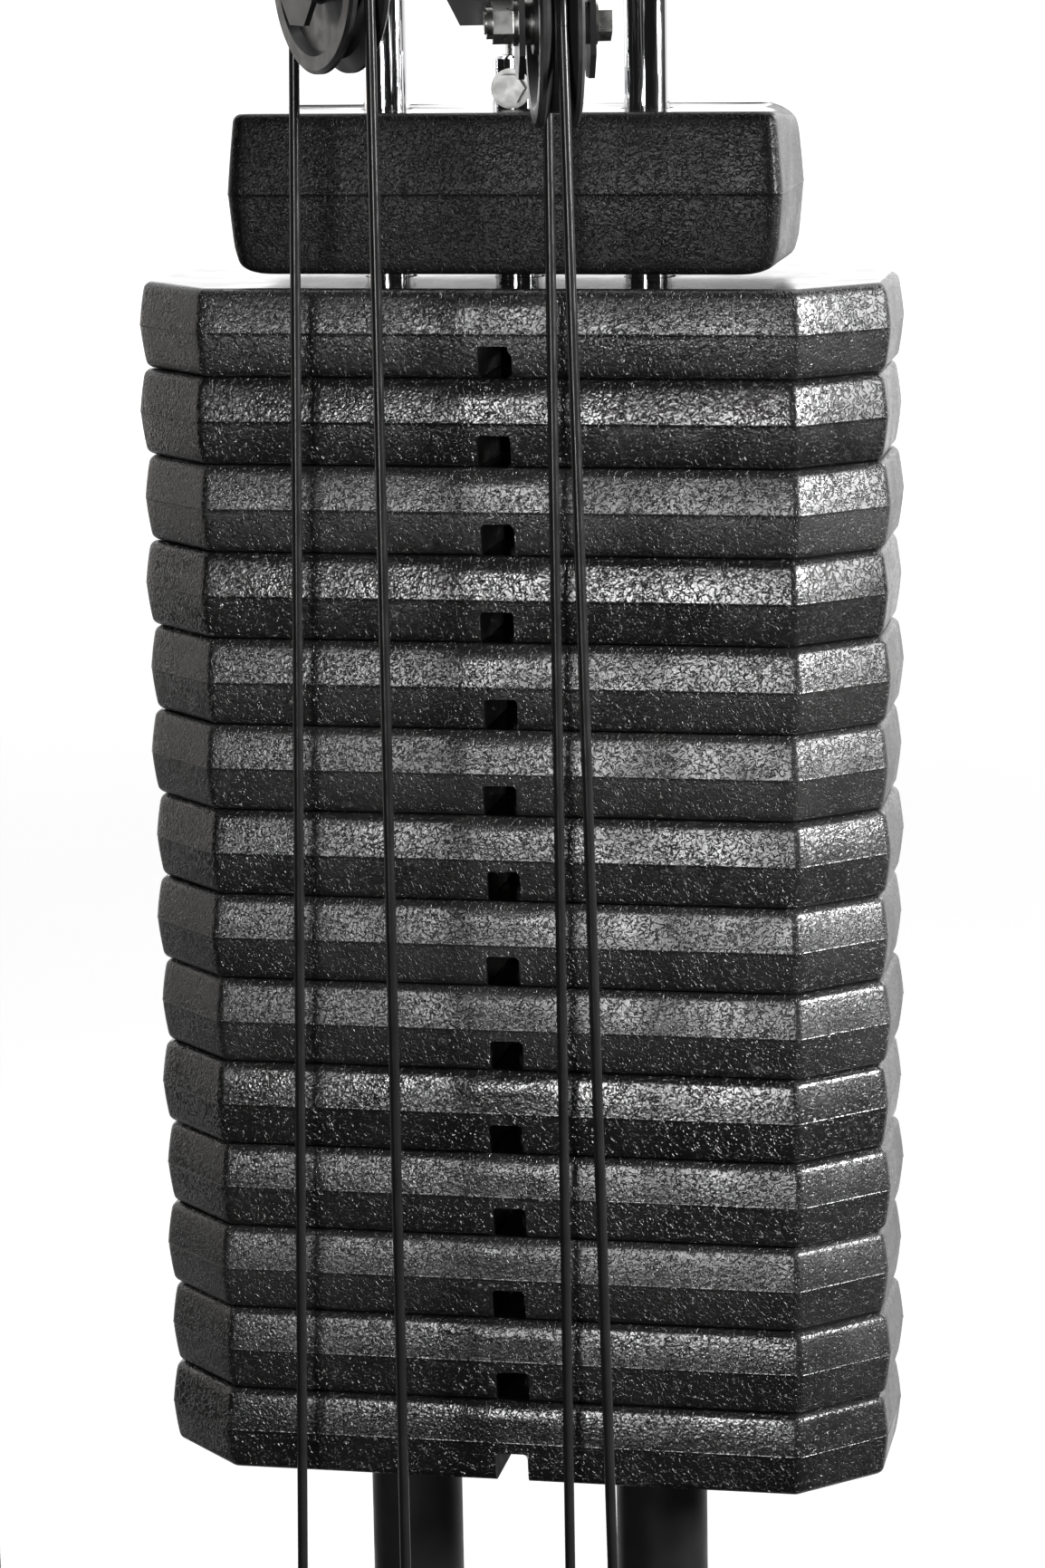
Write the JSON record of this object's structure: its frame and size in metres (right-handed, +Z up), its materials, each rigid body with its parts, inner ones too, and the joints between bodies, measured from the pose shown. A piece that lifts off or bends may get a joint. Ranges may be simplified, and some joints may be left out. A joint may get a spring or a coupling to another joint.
{
  "type": "multi station home gym",
  "caption": "Selectorised home gym: a stack of moulded plates on two guide rods, lifted by cables and floating pulley blocks from a lat bar and a low row handle, with seat and back pad.",
  "frame": {"origin": "on the floor under the vertical axis of the selector stem", "axes": "+Z up, +X along the machine from the weight stack to the seat, -Y towards the cable side of the stack"},
  "size_m": [1.757, 1.054, 2.05],
  "materials": {
    "stack_plastic": "moulded leather grain, satin",
    "chrome": "polished chrome plate",
    "zinc": "zinc plated",
    "frame_paint": "semi gloss black powder coat",
    "cable_jacket": "glossy black nylon jacket",
    "pulley_nylon": "moulded black nylon",
    "rubber": "matt",
    "vinyl": "grained upholstery vinyl"
  },
  "bodies": {
    "frame": {"base_frame": "frame_paint", "uprights": "frame_paint", "top_beam": "frame_paint", "foot_end_caps": "rubber", "guide_rods": "chrome", "riser_tubes": "frame_paint", "riser_bumpers": "rubber", "plate_06": "stack_plastic", "plate_07": "stack_plastic", "plate_08": "stack_plastic", "plate_09": "stack_plastic", "plate_10": "stack_plastic", "plate_11": "stack_plastic", "plate_12": "stack_plastic", "plate_13": "stack_plastic", "plate_14": "stack_plastic", "pulley_hangers": "frame_paint", "fixed_bolts_and_anchors": "zinc", "seat_frame": "frame_paint", "seat_pad": "vinyl", "back_pad": "vinyl", "lift_cable_stem_run": "cable_jacket", "lift_cable_over_pulleys": "cable_jacket", "lift_cable_block_runs": "cable_jacket", "low_cable_rear_run": "cable_jacket", "low_cable_anchor_run": "cable_jacket", "high_cable_anchor_run": "cable_jacket", "high_cable_front_run": "cable_jacket", "low_cable_floor_run": "cable_jacket", "high_cable_mast_run": "cable_jacket"},
    "carriage": {"plate_01": "stack_plastic", "plate_02": "stack_plastic", "plate_03": "stack_plastic", "plate_04": "stack_plastic", "plate_05": "stack_plastic", "head_block": "stack_plastic", "selector_stem": "chrome", "stem_cross_bolt": "zinc", "lift_cable_end": "zinc"},
    "pin": {"selector_pin": "zinc"},
    "low_block": {"low_block_bracket": "frame_paint", "low_block_axles": "zinc", "low_block_cable_loops": "cable_jacket"},
    "high_block": {"high_block_bracket": "frame_paint", "high_block_axles": "zinc", "high_block_cable_loops": "cable_jacket"},
    "lat_bar": {"lat_bar": "chrome"},
    "row_handle": {"row_handle": "chrome"},
    "low_block_lower_pulley": {"low_block_lower_pulley": "pulley_nylon"},
    "low_block_upper_pulley": {"low_block_upper_pulley": "pulley_nylon"},
    "high_block_lower_pulley": {"high_block_lower_pulley": "pulley_nylon"},
    "high_block_upper_pulley": {"high_block_upper_pulley": "pulley_nylon"},
    "crown_pulley": {"crown_pulley": "pulley_nylon"},
    "link_pulley": {"link_pulley": "pulley_nylon"},
    "mast_top_pulley": {"mast_top_pulley": "pulley_nylon"},
    "lat_pulley": {"lat_pulley": "pulley_nylon"},
    "low_base_pulley": {"low_base_pulley": "pulley_nylon"},
    "high_base_pulley": {"high_base_pulley": "pulley_nylon"},
    "mast_foot_pulley": {"mast_foot_pulley": "pulley_nylon"},
    "row_pulley": {"row_pulley": "pulley_nylon"}
  },
  "joints": [
    {"name": "stack_lift", "type": "slide", "parent": "frame", "child": "carriage", "axis": [0, 0, 1], "range_m": [0, 0.5], "deforming": ["lift_cable_stem_run"]},
    {"name": "pin_pull", "type": "slide", "parent": "carriage", "child": "pin", "axis": [0, 1, 0], "range_m": [0, 0.09]},
    {"name": "low_block_drop", "type": "slide", "parent": "frame", "child": "low_block", "axis": [0, 0, -1], "range_m": [0, 0.125], "deforming": ["lift_cable_block_runs", "low_cable_rear_run", "low_cable_anchor_run"]},
    {"name": "high_block_drop", "type": "slide", "parent": "frame", "child": "high_block", "axis": [0, 0, -1], "range_m": [0, 0.125], "deforming": ["high_cable_anchor_run", "high_cable_front_run"]},
    {"name": "lat_bar_pull", "type": "slide", "parent": "frame", "child": "lat_bar", "axis": [0, 0, -1], "range_m": [0, 0.25]},
    {"name": "row_pull", "type": "slide", "parent": "frame", "child": "row_handle", "axis": [1, 0, 0], "range_m": [0, 0.25]},
    {"name": "low_block_lower_spin", "type": "hinge", "parent": "low_block", "child": "low_block_lower_pulley", "pos_m": [-0.066, -0.14, 1.0476], "axis": [0.809, 0.5878, 0], "continuous": true},
    {"name": "low_block_upper_spin", "type": "hinge", "parent": "low_block", "child": "low_block_upper_pulley", "pos_m": [-0.066, -0.14, 1.1726], "axis": [0.809, 0.5878, 0], "continuous": true},
    {"name": "high_block_lower_spin", "type": "hinge", "parent": "high_block", "child": "high_block_lower_pulley", "pos_m": [0.047, -0.14, 1.0203], "axis": [0.9659, 0.2588, 0], "continuous": true},
    {"name": "high_block_upper_spin", "type": "hinge", "parent": "high_block", "child": "high_block_upper_pulley", "pos_m": [0.047, -0.14, 1.1453], "axis": [0.9659, 0.2588, 0], "continuous": true},
    {"name": "crown_spin", "type": "hinge", "parent": "frame", "child": "crown_pulley", "pos_m": [-0.04718, -0.05048, 1.89], "axis": [0.7306, -0.6828, 0], "continuous": true},
    {"name": "link_spin", "type": "hinge", "parent": "frame", "child": "link_pulley", "pos_m": [0.01092, -0.18282, 1.89], "axis": [0.0777, 0.997, 0], "continuous": true},
    {"name": "mast_top_spin", "type": "hinge", "parent": "frame", "child": "mast_top_pulley", "pos_m": [0.45137, -0.16496, 1.89], "axis": [-0.4486, 0.8937, 0], "continuous": true},
    {"name": "lat_spin", "type": "hinge", "parent": "frame", "child": "lat_pulley", "pos_m": [0.73688, -0.02165, 1.89], "axis": [-0.4486, 0.8937, 0], "continuous": true},
    {"name": "low_base_spin", "type": "hinge", "parent": "frame", "child": "low_base_pulley", "pos_m": [-0.06611, -0.10096, 0.112], "axis": [0, 1, 0], "continuous": true},
    {"name": "high_base_spin", "type": "hinge", "parent": "frame", "child": "high_base_pulley", "pos_m": [0.12474, -0.18661, 0.112], "axis": [0, 1, 0], "continuous": true},
    {"name": "mast_foot_spin", "type": "hinge", "parent": "frame", "child": "mast_foot_pulley", "pos_m": [0.36, -0.18661, 0.112], "axis": [0, 1, 0], "continuous": true},
    {"name": "row_spin", "type": "hinge", "parent": "frame", "child": "row_pulley", "pos_m": [1.13, -0.10096, 0.112], "axis": [0, 1, 0], "continuous": true}
  ],
  "couplings": [
    {"joint": "low_block_drop", "follows": "stack_lift", "ratio": 0.25},
    {"joint": "high_block_drop", "follows": "stack_lift", "ratio": 0.25},
    {"joint": "lat_bar_pull", "follows": "stack_lift", "ratio": 0.5},
    {"joint": "row_pull", "follows": "stack_lift", "ratio": 0.5},
    {"joint": "low_block_lower_spin", "follows": "stack_lift", "rad_per_m": -5.1813},
    {"joint": "low_block_upper_spin", "follows": "stack_lift", "rad_per_m": -15.544},
    {"joint": "high_block_lower_spin", "follows": "stack_lift", "rad_per_m": 5.1813},
    {"joint": "high_block_upper_spin", "follows": "stack_lift", "rad_per_m": 5.1813},
    {"joint": "crown_spin", "follows": "stack_lift", "rad_per_m": 14.472},
    {"joint": "link_spin", "follows": "stack_lift", "rad_per_m": 10.265},
    {"joint": "mast_top_spin", "follows": "stack_lift", "rad_per_m": 10.363},
    {"joint": "lat_spin", "follows": "stack_lift", "rad_per_m": 10.363},
    {"joint": "low_base_spin", "follows": "stack_lift", "rad_per_m": -10.363},
    {"joint": "high_base_spin", "follows": "stack_lift", "rad_per_m": -10.363},
    {"joint": "mast_foot_spin", "follows": "stack_lift", "rad_per_m": -10.363},
    {"joint": "row_spin", "follows": "stack_lift", "rad_per_m": -10.363}
  ]
}
